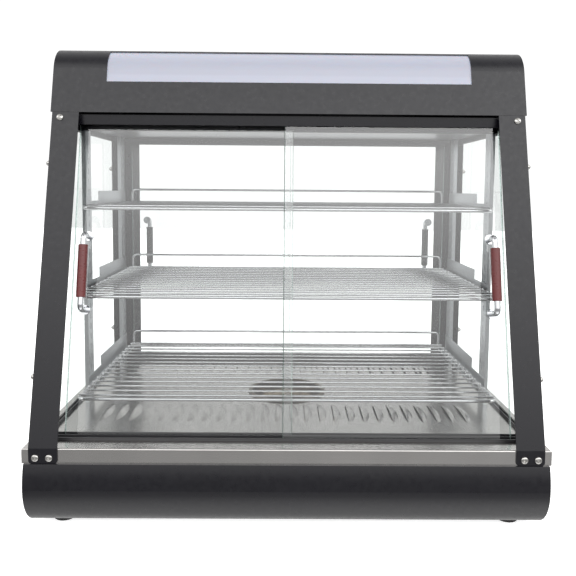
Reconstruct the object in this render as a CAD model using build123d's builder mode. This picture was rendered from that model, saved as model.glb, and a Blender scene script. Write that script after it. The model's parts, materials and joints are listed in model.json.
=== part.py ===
from build123d import *
import math
import os

# Countertop hot food display case, in millimetres. The origin is the centre of its
# footprint at table level, +Z is up and the slanted front doors face -Y.

os.makedirs("parts", exist_ok=True)

# ---------------------------------------------------------------- driving dimensions
RIM_W = 660.0  # stainless worktop rim, the widest part of the case
RIM_D = 455.0
RIM_H = 19.2
RIM_ROUND = 2.0
SHEET = 1.5  # sheet metal of the base, legs, worktop and canopy
FOOT_H = 7.2
BASE_H = 88.6  # painted base, from the feet to the rim
CABIN_H = 425.0  # from the worktop to the canopy
CANOPY_H = 92.0
BELLY = 8.0  # the curved base stands this far in front of the rim
REAR_REACH = 21.0  # the thermostat knob stands this far behind the rim

BASE_W = 654.0
BELLY_SET = 5.0  # the belly's upper edge lies this far behind its foremost line
BASE_CURVE_R = 57.0
BASE_LIP = 15.0
PANEL_INSET = 4.0  # rear panel, in from the rim's rear edge

LEG_OUT = 321.0  # outer face of the legs and posts, from the centre
LEG_FLANGE = 36.0
LEG_SIDE = 30.0
LEG_H = 424.0  # from the worktop, just short of the canopy
LEG_TILT = 0.26  # the front legs lean back by this much per unit of height
TAB_H = 19.0
TAB_R = 4.0
POST_FLANGE = 44.0
POST_Y = 447.0  # rear face of the rear posts, behind the rim's front face
RAIL_H = 21.5

CEILING_Z = 413.5  # underside of the ceiling, above the worktop
CANOPY_W = 649.0
CANOPY_FRONT = 112.0  # canopy's lower front edge, behind the rim's front face
CANOPY_BACK = 450.0
CANOPY_LEAN = 0.25
CANOPY_R = 40.0
CANOPY_BACK_R = 12.0
WINDOW_W = 502.0
WINDOW_LOW = 43.0  # window's lower and upper edges, above the canopy's lower edge
WINDOW_HIGH = 88.0
DIFFUSER_T = 2.5
DIFFUSER_LAP = 7.0

GLASS_T = 5.0
GLASS_CHAMFER = 1.0
SIDE_GLASS_T = 4.0
SIDE_GLASS_X = 314.0
TRACK_HALF = 308.0
FRONT_TRACK_D = 21.0
REAR_TRACK_D = 22.5
TRACK_H = 10.0
TRACK_SINK = 6.5  # the front lower track is let into the worktop by this much
LOW_TRACK_Y = 27.0
HIGH_TRACK_Y = 118.0
HIGH_TRACK_Z = 409.0
HIGH_TRACK_H = 13.3
TRACK_LIP = 7.0
DOOR_GAP = 1.2  # glass to the web of either track
DOOR_EDGE = 290.0  # outer edges of the doors, from the centre
DOOR_LAP = 6.25  # each door passes the centre by this much

HANDLE_X = (270.0, 263.0)  # front and rear handles, from the centre
HANDLE_S = 213.5  # handle's middle, up the glass from the track
HANDLE_OUT = 24.0
HANDLE_HALF = 49.5
HANDLE_R = 3.9
ELBOW_R = 6.5
GRIP_R = 6.2
GRIP_L = 69.0
GRIP_SHIFT = 0.7
GRIP_CHAMFER = 0.5
ROSETTE_R = 6.5
ROSETTE_T = 3.0

STANDARD_X = 297.0  # inward face of the slotted standards
STANDARD_T = 6.0
STANDARD_W = 26.0
STANDARD_SHEET = 1.2
STANDARD_Y = (190.0, 399.0)
SLOT_PITCH = 15.5
SLOT_H = 10.5
SLOT_W = 3.4
SLOT_FIRST = 15.45
SLOT_COUNT = 25

SHELF_HALF = 290.0
SHELF_BACK = 415.0
SHELVES = {"lower": (95.0, 35.5), "middle": (95.0, 178.0), "upper": (132.0, 297.5)}  # front, height
FRAME_R = 2.5
WIRE_R = 1.5
WELD = 0.4  # how deep welded wires sink into each other
WIRE_PITCH = 22.0
WIRE_INSET = 2.0  # outermost cross wires to the frame, clear
WIRE_REACH = 1.0  # cross wires past the frame's centre line
FRAME_CORNER_R = 8.0
RAIL_UP = 22.0
RAIL_R = 2.0
RAIL_X = 284.0

BRACKET_T = 1.5
BRACKET_FRONT = 170.0
BRACKET_STEP = 240.0
BRACKET_BACK = 410.0
BRACKET_LOW = 5.0
BRACKET_TALL = 20.0
BRACKET_FLANGE = 15.0
BRACKET_R = 3.0
HOOK_W = 2.6
HOOK_H = 4.0
REST_GAP = 0.3  # clearance between pieces that move against each other

LOUVER_L = 74.0
LOUVER_W = 11.0
LOUVER_RISE = 4.5
LOUVER_T = 1.0
LOUVER_MOUTH = 0.5  # gap in the sheet before each hood
LOUVER_PITCH = 20.5
LOUVER_COUNT = 26
LOUVER_ROWS = (135.0, 365.0)

PAN_Y = 240.5
PAN_R = 61.0
PAN_RIM = 5.0
PAN_DEPTH = 26.0
PAN_T = 1.0
PAN_BEAD = 3.0
PAN_FLOOR_R = 46.0

FOOT_R = 15.0
FOOT_X = 295.0
FOOT_INSET = 56.0
FOOT_ROUND = 2.0

SCREW_R = 2.0
SCREW_HEAD_R = 4.4
SCREW_HEAD_H = 2.6
SCREW_L = 6.0
BOLT_HEAD_R = 5.0
BOLT_HEAD_H = 4.6
HOLE_SLACK = 0.2

# Controls on the rear panel: distance from the centre line, height of their centres.
CONTROL_Z = 60.0
POWER_X = 150.0
LIGHT_X = 105.0
LAMP_X = 62.0
KNOB_X = 0.0
DIAL_X = -80.0
GLAND_X = -255.0
GLAND_Z = 38.0

SWITCH_W = 20.6
SWITCH_H = 27.4
SWITCH_WALL = 1.6
SWITCH_FRAME = 3.0
SWITCH_DEPTH = 18.0
BEZEL_T = 2.0
ROCKER_GAP = 0.4
ROCKER_HALF_H = 12.4
ROCKER_BACK = 4.0
ROCKER_FACE = 7.0
ROCKER_DIP = 2.2
ROCKER_TILT = 6.0  # a rocker at rest is tipped this far to its off side
ROCKER_PIVOT = 3.0  # pivot, inside the panel's outer face

LAMP_R = 6.0
LAMP_BEZEL_R = 8.0
DIAL_R = 22.0
DIAL_T = 4.0
DIAL_BODY_R = 18.0
GLAND_R = 8.0
GLAND_NUT_R = 12.0
GLAND_OUT = 10.0
CORD_BORE_R = 4.0

THERMOSTAT_W = 44.0
THERMOSTAT_H = 36.0
THERMOSTAT_D = 26.0
SHAFT_R = 3.0
SHAFT_L = 20.0
SHAFT_SLACK = 0.05
PANEL_SLACK = 1.0  # round the shaft, in the panel
KNOB_R = 19.0
KNOB_GAP = 1.0
KNOB_TAPER = 4.0
KNOB_DISC = 8.0
KNOB_BAR = 9.0
KNOB_BAR_INSET = 1.0

HEATER_R = 4.0
HEATER_HALF_X = 170.0
HEATER_HALF_Y = 95.0
HEATER_BEND_R = 45.0
HEATER_DROP = 14.0
HEATER_TAIL = 25.0
CLIP_W = 12.0
CLIP_WALL = 3.0

LEG_SCREW_XS = (295.3, 312.4)
LEG_SCREW_UP = 7.5  # above the rim's lower edge
LEG_TOP_SCREW = 417.0
TOP_SCREW_X = 310.0
LEG_BOLTS = (80.0, 355.0)  # heights of the side bolts above the worktop
POST_BOLTS = (60.0, 357.0)
BOLT_INSET = 15.0
SCREW_HEAD_TAPER = 20.0
DRILL = 6.0  # how far a screw hole is cut either side of a leaning sheet

CHANNEL_W = 7.0
CHANNEL_SHEET = 1.0
LOW_CHANNEL_H = 4.0
HIGH_CHANNEL_H = 8.0
SIDE_FRONT = 6.0
SIDE_BACK = 441.0

CEILING_X = 318.0
CEILING_UP = 9.5
TUBE_R = 8.0
TUBE_L = 500.0
TUBE_Y = 200.0
TUBE_UP = 45.0
HOLDER_T = 12.0
HOLDER_W = 26.0
HOLDER_ABOVE = 14.0

# ---------------------------------------------------------------- levels worked out from them
BASE_Z = FOOT_H
RIM_Z = BASE_Z + BASE_H
FLOOR_Z = RIM_Z + RIM_H
CANOPY_Z = FLOOR_Z + CABIN_H
TOP_Z = CANOPY_Z + CANOPY_H
CEIL_Z = FLOOR_Z + CEILING_Z
FRONT_Y = BELLY - (BELLY + RIM_D + REAR_REACH) / 2
BACK_Y = FRONT_Y + RIM_D
MID_Y = (FRONT_Y + BACK_Y) / 2
BELLY_Y = FRONT_Y - BELLY
LIP_Y = BELLY_Y + BELLY_SET
PANEL_Y = BACK_Y - PANEL_INSET
END_X = BASE_W / 2 - SHEET
UNDER_Z = FLOOR_Z - SHEET
REAR_TRACK_Y = POST_Y - SHEET - REAR_TRACK_D
CEILING_FRONT = HIGH_TRACK_Y + FRONT_TRACK_D
CEILING_BACK = POST_Y - 2 * SHEET
CANOPY_END_X = CANOPY_W / 2 - SHEET
TAB_SCREW_Z = RIM_Z + LEG_SCREW_UP
SCREW_HOLE_R = SCREW_R + HOLE_SLACK

SWITCH_XS = {"power": POWER_X, "light": LIGHT_X}
TWO_SIDES = {"left": -1, "right": 1}


def depth(distance):
    """Y of a place that lies this far behind the rim's front face."""
    return FRONT_Y + distance


def level(height):
    """Z of a place that lies this far above the worktop."""
    return FLOOR_Z + height


# ---------------------------------------------------------------- base
def draw_base_curve():
    """Front of the base: a shallow bulge above a quarter circle."""
    TangentArc((BELLY_Y, BASE_Z + BASE_CURVE_R), (LIP_Y, RIM_Z), tangent=(0, 1))
    CenterArc((BELLY_Y + BASE_CURVE_R, BASE_Z + BASE_CURVE_R), BASE_CURVE_R, 180, 90)


with BuildPart() as base_cover:
    with BuildSketch(Plane.YZ):
        with BuildLine():
            Line((FRONT_Y + BASE_LIP, RIM_Z), (LIP_Y, RIM_Z))
            draw_base_curve()
            Line((BELLY_Y + BASE_CURVE_R, BASE_Z), (PANEL_Y, BASE_Z))
            offset(amount=SHEET, side=Side.LEFT)
        make_face()
    extrude(amount=END_X, both=True)
base_cover.part.label = "base_cover"
export_step(base_cover.part, "parts/base_cover.step")

for side, sign in TWO_SIDES.items():
    with BuildPart() as base_end:
        with BuildSketch(Plane.YZ.offset(sign * END_X)):
            with BuildLine():
                draw_base_curve()
                Polyline(
                    (BELLY_Y + BASE_CURVE_R, BASE_Z),
                    (PANEL_Y, BASE_Z),
                    (PANEL_Y, UNDER_Z),
                    (FRONT_Y + 2 * SHEET, UNDER_Z),
                    (FRONT_Y + 2 * SHEET, RIM_Z),
                    (LIP_Y, RIM_Z),
                )
            make_face()
        extrude(amount=sign * SHEET)
    base_end.part.label = f"base_end_{side}"
    export_step(base_end.part, f"parts/base_end_{side}.step")


with BuildPart() as base_back_panel:
    with BuildSketch(Plane.XZ.offset(-PANEL_Y)):
        with Locations((0, (BASE_Z + SHEET + UNDER_Z) / 2)):
            Rectangle(2 * END_X, UNDER_Z - BASE_Z - SHEET)
        with Locations((POWER_X, CONTROL_Z), (LIGHT_X, CONTROL_Z)):
            Rectangle(SWITCH_W + 2 * SWITCH_WALL, SWITCH_H + 2 * SWITCH_WALL, mode=Mode.SUBTRACT)
        with Locations((LAMP_X, CONTROL_Z)):
            Circle(LAMP_R, mode=Mode.SUBTRACT)
        with Locations((KNOB_X, CONTROL_Z)):
            Circle(SHAFT_R + PANEL_SLACK, mode=Mode.SUBTRACT)
        with Locations((DIAL_X, CONTROL_Z)):
            Circle(DIAL_BODY_R, mode=Mode.SUBTRACT)
        with Locations((GLAND_X, GLAND_Z)):
            Circle(GLAND_R, mode=Mode.SUBTRACT)
    extrude(amount=SHEET)
base_back_panel.part.label = "base_back_panel"
export_step(base_back_panel.part, "parts/base_back_panel.step")

# Switch housings: a box through the panel with a bezel outside it, open to the rear.
with BuildPart() as switch_housings:
    with BuildSketch(Plane.XZ.offset(-PANEL_Y)):
        with Locations((POWER_X, CONTROL_Z), (LIGHT_X, CONTROL_Z)):
            Rectangle(SWITCH_W + 2 * SWITCH_FRAME, SWITCH_H + 2 * SWITCH_FRAME)
    extrude(amount=-BEZEL_T)
    with BuildSketch(Plane.XZ.offset(-PANEL_Y)):
        with Locations((POWER_X, CONTROL_Z), (LIGHT_X, CONTROL_Z)):
            Rectangle(SWITCH_W + 2 * SWITCH_WALL, SWITCH_H + 2 * SWITCH_WALL)
    extrude(amount=SWITCH_DEPTH)
    with BuildSketch(Plane.XZ.offset(-PANEL_Y - BEZEL_T)):
        with Locations((POWER_X, CONTROL_Z), (LIGHT_X, CONTROL_Z)):
            Rectangle(SWITCH_W, SWITCH_H)
    extrude(amount=SWITCH_DEPTH + BEZEL_T - SWITCH_WALL, mode=Mode.SUBTRACT)
switch_housings.part.label = "switch_housings"
export_step(switch_housings.part, "parts/switch_housings.step")


rocker_tilt = math.radians(ROCKER_TILT)
for control, x in SWITCH_XS.items():
    pivot = (x, PANEL_Y - ROCKER_PIVOT, CONTROL_Z)
    tipped = Plane(origin=pivot, x_dir=(0, math.cos(rocker_tilt), math.sin(rocker_tilt)), z_dir=(1, 0, 0))
    with BuildPart() as rocker:
        with BuildSketch(tipped):
            with BuildLine():
                Polyline(
                    (ROCKER_FACE, ROCKER_HALF_H),
                    (-ROCKER_BACK, ROCKER_HALF_H),
                    (-ROCKER_BACK, -ROCKER_HALF_H),
                    (ROCKER_FACE, -ROCKER_HALF_H),
                )
                ThreePointArc(
                    (ROCKER_FACE, -ROCKER_HALF_H),
                    (ROCKER_FACE - ROCKER_DIP, 0),
                    (ROCKER_FACE, ROCKER_HALF_H),
                )
            make_face()
        extrude(amount=SWITCH_W / 2 - ROCKER_GAP, both=True)
    rocker.part.label = f"{control}_rocker"
    export_step(rocker.part, f"parts/{control}_rocker.step")

with BuildPart() as indicator_lamp:
    with BuildSketch(Plane.XZ.offset(-PANEL_Y)):
        with Locations((LAMP_X, CONTROL_Z)):
            Circle(LAMP_BEZEL_R)
    extrude(amount=-BEZEL_T)
    fillet(indicator_lamp.faces().sort_by(Axis.Y)[-1].edges(), radius=BEZEL_T / 2)
    with BuildSketch(Plane.XZ.offset(-PANEL_Y)):
        with Locations((LAMP_X, CONTROL_Z)):
            Circle(LAMP_R)
    extrude(amount=SWITCH_DEPTH)
indicator_lamp.part.label = "indicator_lamp"
export_step(indicator_lamp.part, "parts/indicator_lamp.step")

with BuildPart() as thermometer:
    with BuildSketch(Plane.XZ.offset(-PANEL_Y)):
        with Locations((DIAL_X, CONTROL_Z)):
            Circle(DIAL_R)
    extrude(amount=-DIAL_T)
    fillet(thermometer.faces().sort_by(Axis.Y)[-1].edges(), radius=BEZEL_T / 2)
    with BuildSketch(Plane.XZ.offset(-PANEL_Y)):
        with Locations((DIAL_X, CONTROL_Z)):
            Circle(DIAL_BODY_R)
    extrude(amount=SWITCH_DEPTH)
thermometer.part.label = "thermometer"
export_step(thermometer.part, "parts/thermometer.step")

with BuildPart() as cable_gland:
    with BuildSketch(Plane.XZ.offset(-PANEL_Y)):
        with Locations((GLAND_X, GLAND_Z)):
            RegularPolygon(GLAND_NUT_R, 6)
    extrude(amount=-GLAND_OUT / 2)
    with BuildSketch(Plane.XZ.offset(-PANEL_Y - GLAND_OUT)):
        with Locations((GLAND_X, GLAND_Z)):
            Circle(GLAND_R)
    extrude(amount=GLAND_OUT + SWITCH_DEPTH)
    with BuildSketch(Plane.XZ.offset(-PANEL_Y - GLAND_OUT)):
        with Locations((GLAND_X, GLAND_Z)):
            Circle(CORD_BORE_R)
    extrude(amount=GLAND_OUT + SWITCH_DEPTH, mode=Mode.SUBTRACT)
cable_gland.part.label = "cable_gland"
export_step(cable_gland.part, "parts/cable_gland.step")


with BuildPart() as thermostat_body:
    with BuildSketch(Plane.XZ.offset(-PANEL_Y + SHEET)):
        with Locations((KNOB_X, CONTROL_Z)):
            Rectangle(THERMOSTAT_W, THERMOSTAT_H)
    extrude(amount=THERMOSTAT_D)
    with BuildSketch(Plane.XZ.offset(-PANEL_Y + SHEET)):
        with Locations((KNOB_X, CONTROL_Z)):
            Circle(SHAFT_R + SHAFT_SLACK)
    extrude(amount=SHAFT_L, mode=Mode.SUBTRACT)
thermostat_body.part.label = "thermostat_body"
export_step(thermostat_body.part, "parts/thermostat_body.step")

knob_y = PANEL_Y + KNOB_GAP
knob_end = BACK_Y + REAR_REACH
with BuildPart() as thermostat_knob:
    with BuildSketch(Plane.XZ.offset(-knob_y)):
        with Locations((KNOB_X, CONTROL_Z)):
            Circle(KNOB_R)
    extrude(amount=-KNOB_DISC, taper=KNOB_TAPER)
    with BuildSketch(Plane.XZ.offset(-knob_y)):
        with Locations((KNOB_X, CONTROL_Z)):
            SlotOverall(2 * (KNOB_R - KNOB_BAR_INSET), KNOB_BAR, rotation=90)
    extrude(amount=knob_y - knob_end)
    with BuildSketch(Plane.XZ.offset(-knob_y)):
        with Locations((KNOB_X, CONTROL_Z)):
            Circle(SHAFT_R)
    extrude(amount=SHAFT_L)
thermostat_knob.part.label = "thermostat_knob"
export_step(thermostat_knob.part, "parts/thermostat_knob.step")

# ---------------------------------------------------------------- worktop


def louver_quarter(rise, length, drop):
    """Quarter of a spindle on a sunken axis, with a half-moon footprint on the sheet."""
    sunk = (LOUVER_W**2 - LOUVER_RISE**2) / (2 * LOUVER_RISE)
    half = length / 2
    with BuildPart() as quarter:
        with BuildSketch(Plane.YZ):
            with BuildLine():
                ThreePointArc((-half, 0), (0, rise), (half, 0))
                Polyline((half, 0), (half, -sunk), (-half, -sunk), (-half, 0))
            make_face()
        revolve(axis=Axis((0, 0, -sunk), (0, 1, 0)), revolution_arc=90)
        split(bisect_by=Plane.XY.offset(-drop), keep=Keep.TOP)
    return quarter.part


louver_hood = louver_quarter(LOUVER_RISE, LOUVER_L, 0)
louver_void = louver_quarter(LOUVER_RISE - LOUVER_T, LOUVER_L - 4 * LOUVER_T, 2 * SHEET)
louver_xs = [(i - (LOUVER_COUNT - 1) / 2) * LOUVER_PITCH - LOUVER_W / 2 for i in range(LOUVER_COUNT)]
louver_places = [(x, depth(row), FLOOR_Z) for row in LOUVER_ROWS for x in louver_xs]
mouth_places = [(x - LOUVER_MOUTH, y, z) for x, y, z in louver_places]

with BuildPart() as worktop_tray:
    with BuildSketch(Plane.XY.offset(RIM_Z)):
        with Locations((0, MID_Y)):
            Rectangle(RIM_W, RIM_D)
    extrude(amount=RIM_H)
    fillet(worktop_tray.edges().group_by(Axis.Z)[-1], radius=RIM_ROUND)
    offset(amount=-SHEET, openings=worktop_tray.faces().sort_by(Axis.Z)[0])
    with BuildSketch(Plane.XY.offset(FLOOR_Z)):
        with Locations((0, depth(PAN_Y))):
            Circle(PAN_R - PAN_RIM)
        with Locations((0, depth(LOW_TRACK_Y + FRONT_TRACK_D / 2))):
            Rectangle(2 * TRACK_HALF, FRONT_TRACK_D)
    extrude(amount=-2 * SHEET, mode=Mode.SUBTRACT)
    with BuildSketch(Plane.XZ.offset(-FRONT_Y)):
        for x in LEG_SCREW_XS:
            with Locations((x, TAB_SCREW_Z), (-x, TAB_SCREW_Z)):
                Circle(SCREW_HOLE_R)
    extrude(amount=-2 * SHEET, mode=Mode.SUBTRACT)
    with Locations(*louver_places):
        add(louver_hood)
    with Locations(*mouth_places):
        add(louver_void, mode=Mode.SUBTRACT)
worktop_tray.part.label = "worktop_tray"
export_step(worktop_tray.part, "parts/worktop_tray.step")

# The pan hangs in the worktop's hole by its beaded rim and lifts out.
pan_in = PAN_R - PAN_RIM - 2 * REST_GAP
with BuildPart() as water_pan:
    with BuildSketch(Plane(origin=(0, depth(PAN_Y), FLOOR_Z), x_dir=(1, 0, 0), z_dir=(0, -1, 0))):
        with BuildLine():
            Polyline(
                (0, -PAN_DEPTH),
                (PAN_FLOOR_R, -PAN_DEPTH),
                (pan_in - PAN_T, -PAN_DEPTH / 2),
                (pan_in - PAN_T, PAN_BEAD),
                (PAN_R, PAN_BEAD),
                (PAN_R, REST_GAP),
                (pan_in, REST_GAP),
                (pan_in, -PAN_DEPTH / 2 - PAN_T),
                (PAN_FLOOR_R + PAN_T, -PAN_DEPTH - PAN_T),
                (0, -PAN_DEPTH - PAN_T),
                close=True,
            )
        make_face()
    revolve(axis=Axis((0, depth(PAN_Y), 0), (0, 0, 1)))
water_pan.part.label = "water_pan"
export_step(water_pan.part, "parts/water_pan.step")

# Tubular heater in a loop round the pan, hung under the worktop by four clips.

heater_z = UNDER_Z - HEATER_DROP
heater_y = depth(PAN_Y)
with BuildPart() as heating_element:
    with BuildLine(Plane.XY.offset(heater_z)) as heater_path:
        FilletPolyline(
            (-HEATER_TAIL, heater_y + HEATER_HALF_Y),
            (-HEATER_HALF_X, heater_y + HEATER_HALF_Y),
            (-HEATER_HALF_X, heater_y - HEATER_HALF_Y),
            (HEATER_HALF_X, heater_y - HEATER_HALF_Y),
            (HEATER_HALF_X, heater_y + HEATER_HALF_Y),
            (HEATER_TAIL, heater_y + HEATER_HALF_Y),
            radius=HEATER_BEND_R,
        )
    with BuildSketch(Plane(origin=heater_path.line @ 0, z_dir=heater_path.line % 0)):
        Circle(HEATER_R)
    sweep()
heating_element.part.label = "heating_element"
export_step(heating_element.part, "parts/heating_element.step")

with BuildPart() as heater_clips:
    for x in (-HEATER_HALF_X / 2, HEATER_HALF_X / 2):
        for y in (heater_y - HEATER_HALF_Y, heater_y + HEATER_HALF_Y):
            with BuildSketch(Plane.YZ.offset(x)):
                with Locations((y, (UNDER_Z + heater_z - HEATER_R - CLIP_WALL) / 2)):
                    Rectangle(2 * (HEATER_R + CLIP_WALL), UNDER_Z - heater_z + HEATER_R + CLIP_WALL)
                with Locations((y, heater_z)):
                    Circle(HEATER_R, mode=Mode.SUBTRACT)
            extrude(amount=CLIP_W / 2, both=True)
heater_clips.part.label = "heater_clips"
export_step(heater_clips.part, "parts/heater_clips.step")

with BuildPart() as feet:
    with BuildSketch(Plane.XY):
        with Locations((0, MID_Y)):
            with GridLocations(2 * FOOT_X, RIM_D - 2 * FOOT_INSET, 2, 2):
                Circle(FOOT_R)
    extrude(amount=FOOT_H)
    fillet(feet.faces().group_by(Axis.Z)[0].edges(), radius=FOOT_ROUND)
feet.part.label = "feet"
export_step(feet.part, "parts/feet.step")

# ---------------------------------------------------------------- legs and posts


def lean(height):
    """How far the front legs have leant back at this height above the worktop."""
    return LEG_TILT * height


def leg_bolt_places():
    """Y and Z of every side bolt: two in each front leg and two in each rear post."""
    front = [(depth(lean(h) + BOLT_INSET), level(h)) for h in LEG_BOLTS]
    rear = [(depth(POST_Y - BOLT_INSET), level(h)) for h in POST_BOLTS]
    return front + rear


for side, sign in TWO_SIDES.items():
    with BuildPart() as front_leg:
        with BuildSketch(Plane.YZ.offset(sign * (LEG_OUT - LEG_FLANGE))):
            with BuildLine():
                Polyline((FRONT_Y, FLOOR_Z - TAB_H), (FRONT_Y, FLOOR_Z), (depth(lean(LEG_H)), level(LEG_H)))
                offset(amount=SHEET, side=Side.LEFT)
            make_face()
        extrude(amount=sign * LEG_FLANGE)
        fillet(front_leg.edges().filter_by(Axis.Y).group_by(Axis.Z)[0], radius=TAB_R)
        with BuildSketch(Plane.YZ.offset(sign * LEG_OUT)):
            with BuildLine():
                Polyline(
                    (FRONT_Y, FLOOR_Z),
                    (FRONT_Y + LEG_SIDE, FLOOR_Z),
                    (depth(lean(CABIN_H)) + LEG_SIDE, CANOPY_Z),
                    (depth(lean(CABIN_H)), CANOPY_Z),
                    close=True,
                )
            make_face()
            with Locations(*[(depth(lean(h) + BOLT_INSET), level(h)) for h in LEG_BOLTS]):
                Circle(SCREW_HOLE_R, mode=Mode.SUBTRACT)
        extrude(amount=-sign * SHEET)
        with BuildSketch(Plane.XZ.offset(-FRONT_Y + DRILL)):
            with Locations(*[(sign * x, TAB_SCREW_Z) for x in LEG_SCREW_XS]):
                Circle(SCREW_HOLE_R)
        extrude(amount=-2 * DRILL, mode=Mode.SUBTRACT)
        with BuildSketch(Plane.XZ.offset(-depth(lean(LEG_TOP_SCREW)) + DRILL)):
            with Locations((sign * TOP_SCREW_X, level(LEG_TOP_SCREW))):
                Circle(SCREW_HOLE_R)
        extrude(amount=-2 * DRILL, mode=Mode.SUBTRACT)
    front_leg.part.label = f"front_leg_{side}"
    export_step(front_leg.part, f"parts/front_leg_{side}.step")

    with BuildPart() as rear_post:
        with BuildSketch(Plane.XY.offset(FLOOR_Z)):
            with Locations((sign * (LEG_OUT - POST_FLANGE / 2), depth(POST_Y) - SHEET / 2)):
                Rectangle(POST_FLANGE, SHEET)
            with Locations((sign * (LEG_OUT - SHEET / 2), depth(POST_Y) - LEG_SIDE / 2)):
                Rectangle(SHEET, LEG_SIDE)
        extrude(amount=CABIN_H)
        with BuildSketch(Plane.YZ.offset(sign * LEG_OUT)):
            with Locations(*[(depth(POST_Y - BOLT_INSET), level(h)) for h in POST_BOLTS]):
                Circle(SCREW_HOLE_R)
        extrude(amount=-2 * sign * SHEET, mode=Mode.SUBTRACT)
    rear_post.part.label = f"rear_post_{side}"
    export_step(rear_post.part, f"parts/rear_post_{side}.step")

with BuildPart() as rear_top_rail:
    with BuildSketch(Plane.YZ):
        with BuildLine():
            Polyline(
                (depth(POST_Y) - SHEET / 2, CANOPY_Z - RAIL_H),
                (depth(POST_Y) - SHEET / 2, CANOPY_Z - SHEET / 2),
                (depth(POST_Y) - BASE_LIP, CANOPY_Z - SHEET / 2),
            )
            offset(amount=SHEET / 2)
        make_face()
    extrude(amount=LEG_OUT - POST_FLANGE, both=True)
rear_top_rail.part.label = "rear_top_rail"
export_step(rear_top_rail.part, "parts/rear_top_rail.step")

# Pan-head screws of the legs and hexagon bolts of the sides, each a head and a shank.
top_screw_y = depth(lean(LEG_TOP_SCREW)) - SHEET / math.cos(math.atan(LEG_TILT))
leg_screw_planes = [
    Plane(origin=(sign * x, FRONT_Y - SHEET, TAB_SCREW_Z), z_dir=(0, -1, 0))
    for x in LEG_SCREW_XS
    for sign in TWO_SIDES.values()
]
leg_screw_planes += [
    Plane(origin=(sign * TOP_SCREW_X, top_screw_y, level(LEG_TOP_SCREW)), z_dir=(0, -1, LEG_TILT))
    for sign in TWO_SIDES.values()
]

with BuildPart() as frame_screws:
    for plane in leg_screw_planes:
        with BuildSketch(plane):
            Circle(SCREW_HEAD_R)
        extrude(amount=SCREW_HEAD_H, taper=SCREW_HEAD_TAPER)
        with BuildSketch(plane):
            Circle(SCREW_R)
        extrude(amount=-SCREW_L)
    for sign in TWO_SIDES.values():
        for y, z in leg_bolt_places():
            with BuildSketch(Plane(origin=(sign * LEG_OUT, y, z), z_dir=(sign, 0, 0))):
                RegularPolygon(BOLT_HEAD_R, 6)
            extrude(amount=BOLT_HEAD_H)
            with BuildSketch(Plane(origin=(sign * LEG_OUT, y, z), z_dir=(sign, 0, 0))):
                Circle(SCREW_R)
            extrude(amount=-2 * SHEET)
frame_screws.part.label = "frame_screws"
export_step(frame_screws.part, "parts/frame_screws.step")

# ---------------------------------------------------------------- side glass and its channels


def side_front(height):
    """Y of the side glass's leaning front edge."""
    return depth(lean(height) + SIDE_FRONT)


for side, sign in TWO_SIDES.items():
    with BuildPart() as side_glass:
        with BuildSketch(Plane.YZ.offset(sign * SIDE_GLASS_X)):
            with BuildLine():
                Polyline(
                    (side_front(CHANNEL_SHEET), level(CHANNEL_SHEET)),
                    (depth(SIDE_BACK), level(CHANNEL_SHEET)),
                    (depth(SIDE_BACK), CEIL_Z - CHANNEL_SHEET),
                    (side_front(CEILING_Z), CEIL_Z - CHANNEL_SHEET),
                    close=True,
                )
            make_face()
        extrude(amount=SIDE_GLASS_T / 2, both=True)
    side_glass.part.label = f"side_glass_{side}"
    export_step(side_glass.part, f"parts/side_glass_{side}.step")

with BuildPart() as side_glass_channels:
    for sign in TWO_SIDES.values():
        with BuildSketch(Plane.XZ.offset(-side_front(LOW_CHANNEL_H))):
            with Locations((sign * SIDE_GLASS_X, level(LOW_CHANNEL_H / 2))):
                Rectangle(CHANNEL_W, LOW_CHANNEL_H)
            with Locations((sign * SIDE_GLASS_X, level(CHANNEL_SHEET + LOW_CHANNEL_H / 2))):
                Rectangle(SIDE_GLASS_T, LOW_CHANNEL_H, mode=Mode.SUBTRACT)
        extrude(amount=side_front(LOW_CHANNEL_H) - depth(SIDE_BACK))
        with BuildSketch(Plane.XZ.offset(-side_front(CEILING_Z))):
            with Locations((sign * SIDE_GLASS_X, CEIL_Z - HIGH_CHANNEL_H / 2)):
                Rectangle(CHANNEL_W, HIGH_CHANNEL_H)
            with Locations((sign * SIDE_GLASS_X, CEIL_Z - CHANNEL_SHEET - HIGH_CHANNEL_H / 2)):
                Rectangle(SIDE_GLASS_T, HIGH_CHANNEL_H, mode=Mode.SUBTRACT)
        extrude(amount=side_front(CEILING_Z) - depth(SIDE_BACK))
side_glass_channels.part.label = "side_glass_channels"
export_step(side_glass_channels.part, "parts/side_glass_channels.step")

# ---------------------------------------------------------------- canopy

canopy_corner_y = CANOPY_FRONT + CANOPY_LEAN * CANOPY_H
lean_angle = math.degrees(math.atan(CANOPY_LEAN))
canopy_path = [
    (depth(CANOPY_FRONT), CANOPY_Z),
    (depth(canopy_corner_y), TOP_Z),
    (depth(CANOPY_BACK), TOP_Z),
    (depth(CANOPY_BACK), CANOPY_Z),
]
canopy_radii = (CANOPY_R, CANOPY_BACK_R)

with BuildPart() as canopy_cover:
    with BuildSketch(Plane.YZ):
        with BuildLine():
            FilletPolyline(*canopy_path, radius=canopy_radii)
            offset(amount=SHEET, side=Side.RIGHT)
        make_face()
    extrude(amount=CANOPY_END_X, both=True)
    with BuildSketch(Plane.XZ.offset(-depth(CANOPY_FRONT - SHEET))):
        with Locations((0, CANOPY_Z + (WINDOW_LOW + WINDOW_HIGH) / 2)):
            Rectangle(WINDOW_W, WINDOW_HIGH - WINDOW_LOW)
    extrude(amount=-2 * CANOPY_R, mode=Mode.SUBTRACT)
canopy_cover.part.label = "canopy_cover"
export_step(canopy_cover.part, "parts/canopy_cover.step")

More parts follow.
